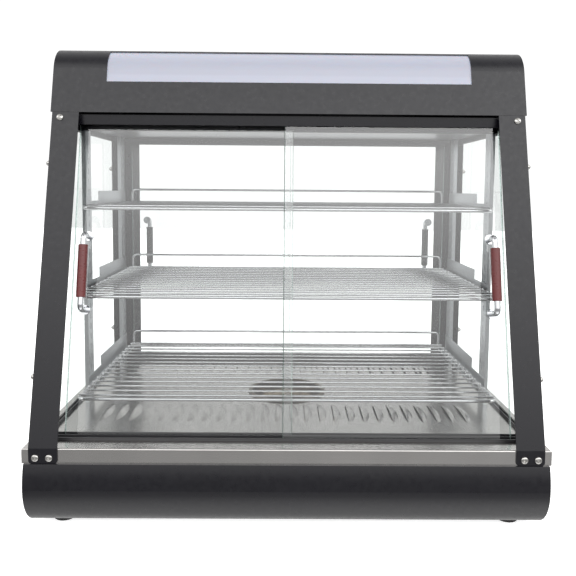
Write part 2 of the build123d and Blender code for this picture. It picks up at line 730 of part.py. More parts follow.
for side, sign in TWO_SIDES.items():
    with BuildPart() as canopy_end:
        with BuildSketch(Plane.YZ.offset(sign * CANOPY_END_X)):
            with BuildLine():
                outline = FilletPolyline(*canopy_path, radius=canopy_radii)
                Line(outline @ 1, outline @ 0)
            make_face()
        extrude(amount=sign * SHEET)
    canopy_end.part.label = f"canopy_end_{side}"
    export_step(canopy_end.part, f"parts/canopy_end_{side}.step")

with BuildPart() as light_diffuser:
    with BuildSketch(Plane.YZ):
        with BuildLine():
            outline = FilletPolyline(*canopy_path, radius=canopy_radii)
            Line(outline @ 1, outline @ 0)
        make_face()
        offset(amount=-SHEET, kind=Kind.INTERSECTION)
        offset(amount=-DIFFUSER_T, kind=Kind.INTERSECTION, mode=Mode.SUBTRACT)
    extrude(amount=WINDOW_W / 2 + DIFFUSER_LAP, both=True)
    with BuildSketch(Plane.XZ.offset(-depth(CANOPY_FRONT - SHEET))):
        with Locations((0, CANOPY_Z + (WINDOW_LOW + WINDOW_HIGH - DIFFUSER_LAP) / 2)):
            Rectangle(WINDOW_W + 2 * DIFFUSER_LAP, WINDOW_HIGH - WINDOW_LOW + DIFFUSER_LAP)
    extrude(amount=-2 * CANOPY_R, mode=Mode.INTERSECT)
light_diffuser.part.label = "light_diffuser"
export_step(light_diffuser.part, "parts/light_diffuser.step")

with BuildPart() as canopy_ceiling:
    with BuildSketch(Plane.XY.offset(CEIL_Z)):
        with Locations((0, depth((CEILING_FRONT + CEILING_BACK) / 2))):
            Rectangle(2 * CEILING_X, CEILING_BACK - CEILING_FRONT)
    extrude(amount=CEILING_UP)
    offset(amount=-SHEET, openings=canopy_ceiling.faces().sort_by(Axis.Z)[-1])
canopy_ceiling.part.label = "canopy_ceiling"
export_step(canopy_ceiling.part, "parts/canopy_ceiling.step")


with BuildPart() as led_tube:
    with BuildSketch(Plane.YZ):
        with Locations((depth(TUBE_Y), CANOPY_Z + TUBE_UP)):
            Circle(TUBE_R)
    extrude(amount=TUBE_L / 2, both=True)
led_tube.part.label = "led_tube"
export_step(led_tube.part, "parts/led_tube.step")

holder_z = CEIL_Z + SHEET
holder_h = CANOPY_Z + TUBE_UP + HOLDER_ABOVE - holder_z
with BuildPart() as tube_holders:
    for sign in TWO_SIDES.values():
        with BuildSketch(Plane.YZ.offset(sign * TUBE_L / 2)):
            with Locations((depth(TUBE_Y), holder_z + holder_h / 2)):
                Rectangle(HOLDER_W, holder_h)
        extrude(amount=sign * HOLDER_T)
tube_holders.part.label = "tube_holders"
export_step(tube_holders.part, "parts/tube_holders.step")

# ---------------------------------------------------------------- door tracks


def door_track(y, z, track_d, track_h, opens, lip):
    """A black channel with two lanes; opens is 1 upwards or -1 downwards, lip deepens its inner wall."""
    lane = (track_d - 3 * SHEET) / 2
    inward = 1 if y < MID_Y else -1
    inner_wall_y = y + track_d - SHEET / 2 if inward > 0 else y + SHEET / 2
    with BuildPart() as track:
        with BuildSketch(Plane.YZ):
            with Locations((y + track_d / 2, z + opens * track_h / 2)):
                Rectangle(track_d, track_h)
            with Locations(
                (y + SHEET + lane / 2, z + opens * (SHEET + track_h / 2)),
                (y + 2 * SHEET + 3 * lane / 2, z + opens * (SHEET + track_h / 2)),
            ):
                Rectangle(lane, track_h, mode=Mode.SUBTRACT)
            if lip > 0:
                with Locations((inner_wall_y, z + opens * (track_h + lip / 2))):
                    Rectangle(SHEET, lip)
        extrude(amount=TRACK_HALF, both=True)
    return track.part


front_high_z = level(HIGH_TRACK_Z + HIGH_TRACK_H)
tracks = {
    "front_lower_track": door_track(
        depth(LOW_TRACK_Y), FLOOR_Z - TRACK_SINK, FRONT_TRACK_D, TRACK_H, 1, 0
    ),
    "front_upper_track": door_track(
        depth(HIGH_TRACK_Y), front_high_z, FRONT_TRACK_D, HIGH_TRACK_H, -1, TRACK_LIP
    ),
    "rear_lower_track": door_track(depth(REAR_TRACK_Y), FLOOR_Z, REAR_TRACK_D, TRACK_H, 1, 0),
    "rear_upper_track": door_track(depth(REAR_TRACK_Y), CEIL_Z, REAR_TRACK_D, TRACK_H, -1, 0),
}
for node, track in tracks.items():
    track.label = node
    export_step(track, f"parts/{node}.step")

# ---------------------------------------------------------------- sliding doors
# Each face of the case has an outer door, away from the cabin, and an inner one.
low_z = level(SHEET + (TRACK_H - SHEET) / 2 - TRACK_SINK)
front_high_mid = front_high_z - SHEET - (HIGH_TRACK_H - SHEET) / 2
door_lean = (HIGH_TRACK_Y - LOW_TRACK_Y) / (front_high_mid - low_z)
door_angle = math.atan(door_lean)
front_low = level(SHEET + DOOR_GAP - TRACK_SINK) - low_z
rear_low = level(SHEET + DOOR_GAP) - low_z
front_high = front_high_z - SHEET - DOOR_GAP - low_z
rear_high = CEIL_Z - SHEET - DOOR_GAP - low_z


def lane_centre(track_d, step):
    """Middle of a lane, from the track's near edge; step is 0 or 1."""
    lane = (track_d - 3 * SHEET) / 2
    return SHEET + lane / 2 + step * (lane + SHEET)


def door_plane(front, outer, x):
    """Plane through a door's glass at this x: local x points out of the case, local y runs up it."""
    if front:
        y = depth(LOW_TRACK_Y) + lane_centre(FRONT_TRACK_D, 0 if outer else 1)
        lean_y, up_z = math.sin(door_angle), math.cos(door_angle)
        return Plane(origin=(x, y, low_z), x_dir=(0, -up_z, lean_y), z_dir=(-1, 0, 0))
    y = depth(REAR_TRACK_Y) + lane_centre(REAR_TRACK_D, 1 if outer else 0)
    return Plane(origin=(x, y, low_z), x_dir=(0, 1, 0), z_dir=(1, 0, 0))


def door_glass(front, outer, sign):
    """One pane, from the outer edge of the doorway to a little past the middle."""
    slant = math.cos(door_angle) if front else 1.0
    bottom = (front_low if front else rear_low) / slant
    top = (front_high if front else rear_high) / slant
    middle = sign * (DOOR_EDGE - DOOR_LAP) / 2
    with BuildPart() as pane:
        with BuildSketch(door_plane(front, outer, middle)):
            with Locations((0, (bottom + top) / 2)):
                Rectangle(GLASS_T, top - bottom)
        extrude(amount=(DOOR_EDGE + DOOR_LAP) / 2, both=True)
        chamfer(pane.edges().filter_by(lambda edge: edge.length > 2 * GLASS_T), length=GLASS_CHAMFER)
    return pane.part


def door_handle_ends(plane):
    """Two bent ends of a bow handle, each with a rosette against the glass."""
    with BuildPart() as ends:
        for end in (1, -1):
            grip_end = GRIP_SHIFT + end * GRIP_L / 2
            with BuildLine(plane) as bend:
                FilletPolyline(
                    (GLASS_T / 2, HANDLE_S + end * HANDLE_HALF),
                    (GLASS_T / 2 + HANDLE_OUT, HANDLE_S + end * HANDLE_HALF),
                    (GLASS_T / 2 + HANDLE_OUT, HANDLE_S + grip_end),
                    radius=ELBOW_R,
                )
            glass_face = Plane(origin=bend.line @ 0, z_dir=bend.line % 0)
            with BuildSketch(glass_face):
                Circle(HANDLE_R)
            sweep(path=bend.line)
            with BuildSketch(glass_face):
                Circle(ROSETTE_R)
            extrude(amount=ROSETTE_T)
    return ends.part


def door_grip(plane):
    """The cylinder between the two ends."""
    out = GLASS_T / 2 + HANDLE_OUT
    foot = plane.from_local_coords(Vector(out, HANDLE_S + GRIP_SHIFT - GRIP_L / 2, 0))
    with BuildPart() as grip:
        with BuildSketch(Plane(origin=foot, z_dir=plane.y_dir)):
            Circle(GRIP_R)
        extrude(amount=GRIP_L)
        chamfer(grip.edges().filter_by(GeomType.CIRCLE), length=GRIP_CHAMFER)
    return grip.part


# On the front the right door is the outer one; behind, seen from in front, the left one.
for face, front, outer_side, handle_x in (
    ("front", True, "right", HANDLE_X[0]),
    ("rear", False, "left", HANDLE_X[1]),
):
    for side, sign in TWO_SIDES.items():
        outer = side == outer_side
        plane = door_plane(front, outer, sign * handle_x)
        pieces = {
            "glass": door_glass(front, outer, sign),
            "handle_ends": door_handle_ends(plane),
            "grip": door_grip(plane),
        }
        for name, piece in pieces.items():
            piece.label = f"{face}_{side}_{name}"
            export_step(piece, f"parts/{face}_{side}_{name}.step")

# ---------------------------------------------------------------- standards, brackets and shelves
def slotted_standard(sign, y):
    """A shallow vertical channel, slotted down the face that looks into the cabin."""
    face_x = sign * (STANDARD_X + STANDARD_T / 2)
    with BuildPart() as standard:
        with BuildSketch(Plane.XY.offset(FLOOR_Z)):
            with Locations((face_x, y)):
                Rectangle(STANDARD_T, STANDARD_W)
            with Locations((face_x + sign * STANDARD_SHEET, y)):
                Rectangle(STANDARD_T, STANDARD_W - 2 * STANDARD_SHEET, mode=Mode.SUBTRACT)
        extrude(amount=CEILING_Z)
        with BuildSketch(Plane.YZ.offset(sign * STANDARD_X)):
            with Locations((y, level(SLOT_FIRST + SLOT_H / 2 + (SLOT_COUNT - 1) / 2 * SLOT_PITCH))):
                with GridLocations(0, SLOT_PITCH, 1, SLOT_COUNT):
                    SlotOverall(SLOT_H, SLOT_W, rotation=90)
        extrude(amount=sign * STANDARD_T / 2, mode=Mode.SUBTRACT)
    return standard.part


for place, y in zip(("front", "rear"), STANDARD_Y):
    with BuildPart() as standards:
        for sign in TWO_SIDES.values():
            add(slotted_standard(sign, depth(y)))
    standards.part.label = f"{place}_standards"
    export_step(standards.part, f"parts/{place}_standards.step")


def shelf_brackets(deck_z):
    """A pair of stepped side brackets that hook into the standards and carry a shelf."""
    frame_low = deck_z - WIRE_R + WELD - 2 * FRAME_R
    seat_z = frame_low - REST_GAP
    bracket_middle = depth((BRACKET_FRONT + BRACKET_BACK) / 2)
    with BuildPart() as brackets:
        for sign in TWO_SIDES.values():
            with BuildSketch(Plane.YZ.offset(sign * STANDARD_X)) as web:
                with BuildLine():
                    Polyline(
                        (depth(BRACKET_FRONT), seat_z - BRACKET_T),
                        (depth(BRACKET_BACK), seat_z - BRACKET_T),
                        (depth(BRACKET_BACK), deck_z + BRACKET_TALL),
                        (depth(BRACKET_STEP), deck_z + BRACKET_TALL),
                        (depth(BRACKET_STEP), deck_z + BRACKET_LOW),
                        (depth(BRACKET_FRONT), deck_z + BRACKET_LOW),
                        close=True,
                    )
                make_face()
                fillet(web.vertices().group_by(Axis.Y)[0].sort_by(Axis.Z)[-1], radius=BRACKET_R)
            extrude(amount=-sign * BRACKET_T)
            with BuildSketch(Plane.XY.offset(seat_z)):
                with Locations((sign * (STANDARD_X - BRACKET_FLANGE / 2), bracket_middle)):
                    Rectangle(BRACKET_FLANGE, BRACKET_BACK - BRACKET_FRONT)
            extrude(amount=-BRACKET_T)
            with BuildSketch(Plane.YZ.offset(sign * STANDARD_X)):
                with Locations(*[(depth(y), deck_z) for y in STANDARD_Y]):
                    Rectangle(HOOK_W, HOOK_H)
            extrude(amount=sign * 2 * BRACKET_T)
    return brackets.part


def shelf_deck(front, deck_z):
    """A wire frame with cross wires welded over it."""
    frame_z = deck_z - WIRE_R - FRAME_R + WELD
    half = SHELF_HALF - FRAME_R
    y_low = depth(front)
    y_high = depth(SHELF_BACK)
    clear = FRAME_R + WIRE_R + WIRE_INSET
    gaps = round((y_high - y_low - 2 * clear) / WIRE_PITCH)
    pitch = (y_high - y_low - 2 * clear) / gaps
    with BuildPart() as deck:
        with BuildLine(Plane.XY.offset(frame_z)) as frame:
            FilletPolyline(
                (-half, y_low), (half, y_low), (half, y_high), (-half, y_high),
                radius=FRAME_CORNER_R,
                close=True,
            )
        with BuildSketch(Plane(origin=frame.line @ 0, z_dir=frame.line % 0)):
            Circle(FRAME_R)
        sweep(path=frame.line)
        with BuildSketch(Plane.YZ):
            with Locations(*[(y_low + clear + i * pitch, deck_z) for i in range(gaps + 1)]):
                Circle(WIRE_R)
        extrude(amount=half + WIRE_REACH, both=True)
    return deck.part


def shelf_rail(deck_z):
    """The rear guard wire, bent down to the frame at both ends."""
    foot_z = deck_z - WIRE_R + WELD
    y = depth(SHELF_BACK)
    with BuildPart() as rail:
        with BuildLine() as bend:
            FilletPolyline(
                (-RAIL_X, y, foot_z),
                (-RAIL_X, y, deck_z + RAIL_UP),
                (RAIL_X, y, deck_z + RAIL_UP),
                (RAIL_X, y, foot_z),
                radius=FRAME_CORNER_R,
            )
        with BuildSketch(Plane(origin=bend.line @ 0, z_dir=bend.line % 0)):
            Circle(RAIL_R)
        sweep(path=bend.line)
    return rail.part


for name, (front, height) in SHELVES.items():
    pieces = {
        f"{name}_brackets": shelf_brackets(level(height)),
        f"{name}_shelf_deck": shelf_deck(front, level(height)),
        f"{name}_shelf_rail": shelf_rail(level(height)),
    }
    for node, piece in pieces.items():
        piece.label = node
        export_step(piece, f"parts/{node}.step")
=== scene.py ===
import json
import math

import bmesh
import bpy
from mathutils import Matrix, Vector


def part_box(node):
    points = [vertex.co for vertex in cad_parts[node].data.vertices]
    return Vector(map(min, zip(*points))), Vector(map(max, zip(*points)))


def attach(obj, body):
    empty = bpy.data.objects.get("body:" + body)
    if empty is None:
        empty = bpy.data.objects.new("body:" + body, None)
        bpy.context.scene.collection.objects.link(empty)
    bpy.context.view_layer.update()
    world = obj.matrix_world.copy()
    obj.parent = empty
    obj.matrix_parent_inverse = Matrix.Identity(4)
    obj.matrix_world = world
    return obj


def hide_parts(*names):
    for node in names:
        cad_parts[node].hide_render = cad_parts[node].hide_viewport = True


# Looks of a countertop hot food display case: black powder-coated base, legs and canopy,
# a stainless worktop, chromed shelves and four sliding glass doors. In metres, but the measures
# of the drawn pieces are in mm.

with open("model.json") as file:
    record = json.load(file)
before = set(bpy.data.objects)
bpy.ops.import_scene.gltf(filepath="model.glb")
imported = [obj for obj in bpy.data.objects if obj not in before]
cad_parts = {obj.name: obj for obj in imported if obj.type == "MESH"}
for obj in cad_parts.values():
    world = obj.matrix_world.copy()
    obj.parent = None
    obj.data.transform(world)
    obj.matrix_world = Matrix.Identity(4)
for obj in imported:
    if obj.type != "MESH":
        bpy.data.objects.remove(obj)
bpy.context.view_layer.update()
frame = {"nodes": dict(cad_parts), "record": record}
nodes = frame["nodes"]
scene = bpy.context.scene
MM = 0.001
GLASS_IOR = 1.5
GLASS_ROUGHNESS = 0.02
EDGE_ROUGHNESS, EDGE_MILKINESS = 0.25, 0.55
TWO_FACES = 2.9  # both faces of a pane reflect, each through the other
NOISE_LOW, NOISE_HIGH = 0.3, 0.7  # nearly all of a noise texture lies between these


# ---------------------------------------------------------------- node helpers
def new_material(name, **settings):
    """A Principled material with these values, by the names of its sockets in lower case."""
    material = bpy.data.materials.new(name)
    material.use_nodes = True
    shader = material.node_tree.nodes["Principled BSDF"]
    for key, value in settings.items():
        shader.inputs[key.replace("_", " ").title()].default_value = value
    return material


def parts_of(material):
    """The node tree, what makes its links, and its shader."""
    tree = material.node_tree
    return tree, tree.links.new, tree.nodes["Principled BSDF"]


def object_place(tree, stretch=(1, 1, 1)):
    """Object coordinates, scaled by stretch along each axis."""
    place = tree.nodes.new("ShaderNodeTexCoord")
    mapping = tree.nodes.new("ShaderNodeMapping")
    mapping.inputs["Scale"].default_value = stretch
    tree.links.new(place.outputs["Object"], mapping.inputs["Vector"])
    return mapping.outputs["Vector"]


def noise(tree, scale, detail, stretch=(1, 1, 1)):
    """Smooth noise with about this many lumps in a metre."""
    texture = tree.nodes.new("ShaderNodeTexNoise")
    texture.inputs["Scale"].default_value = scale
    texture.inputs["Detail"].default_value = detail
    tree.links.new(object_place(tree, stretch), texture.inputs["Vector"])
    return texture.outputs["Fac"]


def cells(tree, scale):
    """Irregular cells, as in the surface of zinc."""
    texture = tree.nodes.new("ShaderNodeTexVoronoi")
    texture.inputs["Scale"].default_value = scale
    tree.links.new(object_place(tree), texture.inputs["Vector"])
    return texture.outputs["Color"]


def ranged(tree, value, source, target=(0.0, 1.0)):
    """A node that takes this value from the source range to the target range."""
    node = tree.nodes.new("ShaderNodeMapRange")
    node.inputs["From Min"].default_value, node.inputs["From Max"].default_value = source
    node.inputs["To Min"].default_value, node.inputs["To Max"].default_value = target
    tree.links.new(value, node.inputs["Value"])
    return node


def spread(tree, value, low, high):
    """Noise taken to the range from low to high."""
    return ranged(tree, value, (NOISE_LOW, NOISE_HIGH), (low, high)).outputs["Result"]


def between(tree, value, stops):
    """A colour ramp with stops of (place, (r, g, b))."""
    node = tree.nodes.new("ShaderNodeValToRGB")
    ramp = node.color_ramp
    ramp.elements[0].position, ramp.elements[0].color = stops[0][0], (*stops[0][1], 1)
    ramp.elements[1].position, ramp.elements[1].color = stops[-1][0], (*stops[-1][1], 1)
    for position, colour in stops[1:-1]:
        ramp.elements.new(position).color = (*colour, 1)
    tree.links.new(value, node.inputs["Fac"])
    return node.outputs["Color"]


def add_bump(material, height, distance, strength):
    """Bump from this height, chained after any bump that is already there."""
    tree, link, shader = parts_of(material)
    node = tree.nodes.new("ShaderNodeBump")
    node.inputs["Strength"].default_value = strength
    node.inputs["Distance"].default_value = distance
    link(height, node.inputs["Height"])
    if shader.inputs["Normal"].links:
        link(shader.inputs["Normal"].links[0].from_socket, node.inputs["Normal"])
    link(node.outputs["Normal"], shader.inputs["Normal"])


def scaled(colour, factor):
    """This colour, lighter or darker by the factor."""
    return tuple(channel * factor for channel in colour)


def mottled(tree, value, colour, low, high, ends=(NOISE_LOW, NOISE_HIGH)):
    """The colour, from low times to high times as bright where the value runs between ends."""
    return between(tree, value, [(ends[0], scaled(colour, low)), (ends[1], scaled(colour, high))])


# ---------------------------------------------------------------- materials
def powder_coat(name, colour, roughness):
    """Satin powder coat: fine orange peel and faint cloudiness."""
    material = new_material(name, roughness=roughness)
    tree, link, shader = parts_of(material)
    clouds, peel = noise(tree, 14, 3), noise(tree, 160, 4)
    link(mottled(tree, clouds, colour, 0.92, 1.08), shader.inputs["Base Color"])
    link(spread(tree, peel, roughness - 0.05, roughness + 0.06), shader.inputs["Roughness"])
    add_bump(material, noise(tree, 900, 2), 0.00001, 0.5)
    return material


def brushed(name, colour, roughness, grain, along=(1, 1, 1), depth=0.000004):
    """Brushed sheet: long fine scratches, stretched by along, and slight heat or hand marks."""
    material = new_material(name, metallic=1.0, roughness=roughness)
    tree, link, shader = parts_of(material)
    scratches, marks = noise(tree, grain, 3, along), noise(tree, 9, 3)
    link(mottled(tree, marks, colour, 0.94, 1.05), shader.inputs["Base Color"])
    link(spread(tree, scratches, roughness - 0.03, roughness + 0.04), shader.inputs["Roughness"])
    add_bump(material, scratches, depth, 0.6)
    return material


def plated(name, colour, roughness, spangle):
    """Bright zinc: small crystals that differ a little in shade and gloss."""
    material = new_material(name, metallic=1.0, roughness=roughness)
    tree, link, shader = parts_of(material)
    grey = tree.nodes.new("ShaderNodeRGBToBW")
    link(cells(tree, spangle), grey.inputs["Color"])
    crystals = grey.outputs["Val"]
    link(mottled(tree, crystals, colour, 0.97, 1.03, (0.2, 0.8)), shader.inputs["Base Color"])
    link(spread(tree, crystals, roughness - 0.03, roughness + 0.04), shader.inputs["Roughness"])
    add_bump(material, noise(tree, 500, 3), 0.000002, 0.4)
    return material


def chrome(name, colour, roughness):
    """Polished chrome with a trace of waviness and smudges."""
    material = new_material(name, metallic=1.0, base_color=(*colour, 1), roughness=roughness)
    tree, link, shader = parts_of(material)
    smudges = noise(tree, 60, 4)
    link(spread(tree, smudges, roughness * 0.85, roughness * 1.3), shader.inputs["Roughness"])
    add_bump(material, noise(tree, 120, 2), 0.000002, 0.3)
    return material


def moulded(name, colour, roughness, grain=1500.0, depth=0.00003, **settings):
    """Moulded plastic or rubber with a fine grain."""
    material = new_material(name, roughness=roughness, **settings)
    tree, link, shader = parts_of(material)
    shade, gloss = noise(tree, 35, 3), noise(tree, 400, 3)
    link(mottled(tree, shade, colour, 0.9, 1.1), shader.inputs["Base Color"])
    link(spread(tree, gloss, roughness - 0.05, roughness + 0.05), shader.inputs["Roughness"])
    add_bump(material, noise(tree, grain, 2), depth, 0.5)
    return material


def clear_glass(name, tint, shine):
    """Float glass: what is behind it shows, tinted, under a reflection shine times as strong."""
    material = bpy.data.materials.new(name)
    material.use_nodes = True
    tree = material.node_tree
    link = tree.links.new
    tree.nodes.remove(tree.nodes["Principled BSDF"])
    through = tree.nodes.new("ShaderNodeBsdfTransparent")
    through.inputs["Color"].default_value = (*tint, 1)
    gloss = tree.nodes.new("ShaderNodeBsdfGlossy")
    gloss.inputs["Roughness"].default_value = GLASS_ROUGHNESS
    facing = tree.nodes.new("ShaderNodeFresnel")
    facing.inputs["IOR"].default_value = GLASS_IOR
    sided = tree.nodes.new("ShaderNodeNewGeometry")
    front = tree.nodes.new("ShaderNodeMath")
    front.operation = "SUBTRACT"
    front.inputs[0].default_value = 1.0
    link(sided.outputs["Backfacing"], front.inputs[1])
    stronger = tree.nodes.new("ShaderNodeMath")
    stronger.operation = "MULTIPLY"
    stronger.inputs[1].default_value = shine
    link(facing.outputs["Fac"], stronger.inputs[0])
    share = tree.nodes.new("ShaderNodeMath")
    share.operation = "MULTIPLY"
    share.use_clamp = True
    link(stronger.outputs["Value"], share.inputs[0])
    link(front.outputs["Value"], share.inputs[1])
    both = tree.nodes.new("ShaderNodeMixShader")
    link(share.outputs["Value"], both.inputs["Fac"])
    link(through.outputs["BSDF"], both.inputs[1])
    link(gloss.outputs["BSDF"], both.inputs[2])
    link(both.outputs["Shader"], tree.nodes["Material Output"].inputs["Surface"])
    return material


def glass_edge(name, tint):
    """Ground and polished edge of a pane: clear glass under a pale green gloss."""
    material = clear_glass(name, tint, TWO_FACES)
    tree = material.node_tree
    link = tree.links.new
    out = tree.nodes["Material Output"].inputs["Surface"]
    milky = tree.nodes.new("ShaderNodeBsdfGlossy")
    milky.inputs["Roughness"].default_value = EDGE_ROUGHNESS
    link(
        between(tree, noise(tree, 60, 3), [(0.35, scaled(tint, 0.8)), (0.65, tint)]),
        milky.inputs["Color"],
    )
    ground = tree.nodes.new("ShaderNodeMixShader")
    ground.inputs["Fac"].default_value = EDGE_MILKINESS
    link(out.links[0].from_socket, ground.inputs[1])
    link(milky.outputs["BSDF"], ground.inputs[2])
    link(ground.outputs["Shader"], out)
    return material


def opal(name, colour):
    """Frosted opal acrylic, painted lighter along its lower edge: painted light where the glow
    collects.
    """
    material = new_material(name, roughness=0.32, subsurface_weight=0.15, subsurface_scale=0.01)
    tree, link, shader = parts_of(material)
    low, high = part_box("light_diffuser")
    split = tree.nodes.new("ShaderNodeSeparateXYZ")
    link(object_place(tree), split.inputs["Vector"])
    rise = ranged(tree, split.outputs["Z"], (low.z, high.z))
    # Painted light: the colour and the glow are made lighter toward the lower edge.
    painted_light_by_height = ((0.12, 1.1), (0.3, 1.08), (0.36, 1), (1.0, 0.94))  # by share of the height
    stops = [(place, scaled(colour, factor)) for place, factor in painted_light_by_height]
    shade = between(tree, rise.outputs["Result"], stops)
    link(shade, shader.inputs["Base Color"])
    link(shade, shader.inputs["Emission Color"])
    shader.inputs["Emission Strength"].default_value = 0.3
    add_bump(material, noise(tree, 700, 2), 0.00002, 0.3)
    return material


def heat_tinted(name):
    """Sheath of a tubular heater: dark steel with straw and blue bands."""
    material = new_material(name, metallic=1.0, roughness=0.4)
    tree, link, shader = parts_of(material)
    dark, straw = (0.12, 0.1, 0.09), (0.26, 0.19, 0.12)
    blue, pale = (0.2, 0.17, 0.2), (0.3, 0.27, 0.24)
    bands = [(0.3, dark), (0.5, straw), (0.62, blue), (0.7, pale)]
    link(between(tree, noise(tree, 18, 4), bands), shader.inputs["Base Color"])
    add_bump(material, noise(tree, 1200, 3), 0.00003, 0.5)
    return material


# The finish of every material slot of the part.
FINISH = {
    "black_paint": powder_coat("powder_coat_black", (0.0034, 0.0031, 0.006), 0.31),
    # Painted sheen: the tracks' black is a lighter copy of the powder coat, standing in for the
    # glint of their lips.
    "track_black": powder_coat("satin_black_track_painted_sheen", (0.03, 0.0295, 0.032), 0.34),
    "stainless_worktop": brushed(
        "brushed_worktop", (0.56, 0.545, 0.53), 0.22, 20, (2, 90, 90), 0.000002
    ),
    # Painted shade: the ceiling's stainless is a darker copy of the worktop's, shaded under the
    # canopy.
    "stainless_ceiling": brushed("brushed_ceiling_painted_shade", (0.31, 0.31, 0.32), 0.32, 20, (2, 60, 60)),
    # Painted shade: the pan's steel is darkened to stand in for the dark reflections inside the
    # case.
    "stainless_pan": brushed("spun_pan_painted_shade", (0.14, 0.115, 0.085), 0.13, 90, (1, 1, 9)),
    "plated_steel": plated("bright_zinc", (0.5, 0.515, 0.53), 0.34, 300),
    "chromed_wire": chrome("chromed_wire", (0.6, 0.605, 0.615), 0.17),
    "chrome_handle": chrome("polished_chrome", (0.68, 0.69, 0.71), 0.08),
    "screw_steel": plated("nickel_screws", (0.5, 0.49, 0.47), 0.2, 900),
    "grip_brown": moulded(
        "brown_grip", (0.11, 0.004, 0.004), 0.3, coat_weight=0.4, coat_roughness=0.12
    ),
    "door_glass": clear_glass("clear_door_glass", (0.978, 0.986, 0.984), TWO_FACES),
    "side_glass": clear_glass("clear_side_glass", (0.985, 0.995, 0.99), TWO_FACES / 3),
    "opal_diffuser": opal("opal_acrylic", (0.32, 0.33, 0.39)),
    "lamp_tube": moulded(
        "frosted_tube", (0.85, 0.86, 0.88), 0.3, emission_color=(1, 1, 1, 1), emission_strength=0.4
    ),
    "heater_sheath": heat_tinted("heater_sheath"),
    "rubber_foot": moulded("foot_rubber", (0.012, 0.012, 0.012), 0.7, 700, 0.00006),
    "black_plastic": moulded("black_plastic", (0.02, 0.02, 0.021), 0.42),
    "rocker_red": moulded(
        "red_rocker", (0.55, 0.02, 0.015), 0.25, coat_weight=0.3, coat_roughness=0.1
    ),
    "rocker_green": moulded(
        "green_rocker", (0.02, 0.32, 0.07), 0.25, coat_weight=0.3, coat_roughness=0.1
    ),
    "lamp_amber": moulded(
        "amber_lens", (0.85, 0.28, 0.03), 0.15, coat_weight=0.6, coat_roughness=0.05
    ),
    "dial_metal": chrome("dial_bezel", (0.78, 0.78, 0.8), 0.1),
}

# The grips of the rear doors are as grey as their handles; only the front ones are reddish brown.
GREY_GRIP = moulded("grey_grip", (0.06, 0.058, 0.058), 0.35)
for subpart in frame["record"]["subparts"]:
    name = subpart["node"]
    mesh = nodes[name].data
    rear_grip = name.startswith("rear_") and name.endswith("_grip")
    mesh.materials.clear()
    mesh.materials.append(GREY_GRIP if rear_grip else FINISH[subpart["material_slot"]])

# The polished edges of the panes: every face that doesn't look through the pane.
EDGE_OF_GLASS = glass_edge("polished_glass_edge", (0.7, 0.8, 0.77))
FACE_ON = 0.9  # how nearly a face has to look the way that the pane does
for name, node in nodes.items():
    is_pane = name.endswith("_glass") or name.startswith("side_glass_")
    if is_pane and "channels" not in name:
        mesh = node.data
        widest = max(mesh.polygons, key=lambda face: face.area).normal.copy()
        mesh.materials.append(EDGE_OF_GLASS)
        for face in mesh.polygons:
            face.material_index = int(abs(face.normal.dot(widest)) < FACE_ON)

# ---------------------------------------------------------------- pieces
# Measures in mm.
CIRCLE = 48  # facets of a turned piece
SHARP_ANGLE = math.radians(32)  # edges that turn more than this stay crisp
RIM_Z, WORKTOP_Z = 95.8, 115  # lower edge of the worktop's rim, and the worktop
SHEET_T = 1.5  # of the legs and their tabs
LEG_LEAN = 0.26  # of the front legs, y for z
FRAME_D = 447  # from the front legs' feet to the rear face of the posts
SCREW_XS, SCREW_UP = (295.3, 312.4), 7.5  # on a leg's tab, and height above RIM_Z
TOP_SCREW_X, TOP_SCREW_UP = 310, 417  # on the top of a leg; heights are above the worktop
LEG_BOLTS, POST_BOLTS = (80, 355), (60, 357)  # heights of the side bolts
BOLT_IN = 15  # from the edge of a leg or post
SIDE_X = 321  # outer face of the legs and posts
SCREW_R, SCREW_H, SCREW_SHANK_R, SCREW_SHANK_L = 4.5, 2.7, 2.0, 6.0
NUT_R, NUT_H, NUT_SHANK_R, NUT_SHANK_L = 5.0, 9.0, 2.0, 3.0
SHELF_RODS_R, WIRE_CLEAR, WIRE_PITCH = 2.5, 6.0, 22.0  # WIRE_CLEAR lies inside the frame's rods
CONTROL_Z, DIAL_X, LAMP_X, KNOB_X = 60, -80, 62, 0
SWEEP = 270  # degrees of the thermometer's and the thermostat's scale
SQUARE = ((-1, -1), (1, -1), (1, 1), (-1, 1))
front_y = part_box("worktop_tray")[0].y / MM
panel_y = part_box("base_back_panel")[1].y / MM


def seat(at, out, turn=0.0):
    """A frame at this point in mm, whose Z points out."""
    aim = Vector(out).to_track_quat("Z", "Y").to_matrix().to_4x4()
    return Matrix.Translation(Vector(at) * MM) @ aim @ Matrix.Rotation(turn, 4, "Z")


def piece(name, shape, body, material_slot, material=None, stands_for=()):
    """An object of this mesh, which rides on body; its finish is the slot's unless one is given."""
    bmesh.ops.recalc_face_normals(shape, faces=shape.faces)
    mesh = bpy.data.meshes.new(name)
    shape.to_mesh(mesh)
    shape.free()
    mesh.materials.append(material or FINISH[material_slot])
    mesh.polygons.foreach_set("use_smooth", [True] * len(mesh.polygons))
    mesh.set_sharp_from_angle(angle=SHARP_ANGLE)
    made = bpy.data.objects.new(name, mesh)
    scene.collection.objects.link(made)
    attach(made, body)
    if stands_for:
        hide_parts(*stands_for)
    return made


def lathe(shape, profile, place, steps=CIRCLE):
    """Turns (radius, height) points in mm about the Z of place; a radius of 0 closes the end."""
    rings = []
    for radius, height in profile:
        turns = steps if radius else 1
        ring = []
        for step in range(turns):
            angle = math.tau * step / steps
            point = Vector((radius * math.cos(angle), radius * math.sin(angle), height)) * MM
            ring.append(shape.verts.new(place @ point))
        rings.append(ring)
    for near, far in zip(rings, rings[1:]):
        for step in range(steps):
            after = (step + 1) % steps
            corners = [near[step % len(near)], near[after % len(near)]]
            corners += [far[after % len(far)], far[step % len(far)]]
            shape.faces.new(list(dict.fromkeys(corners)))


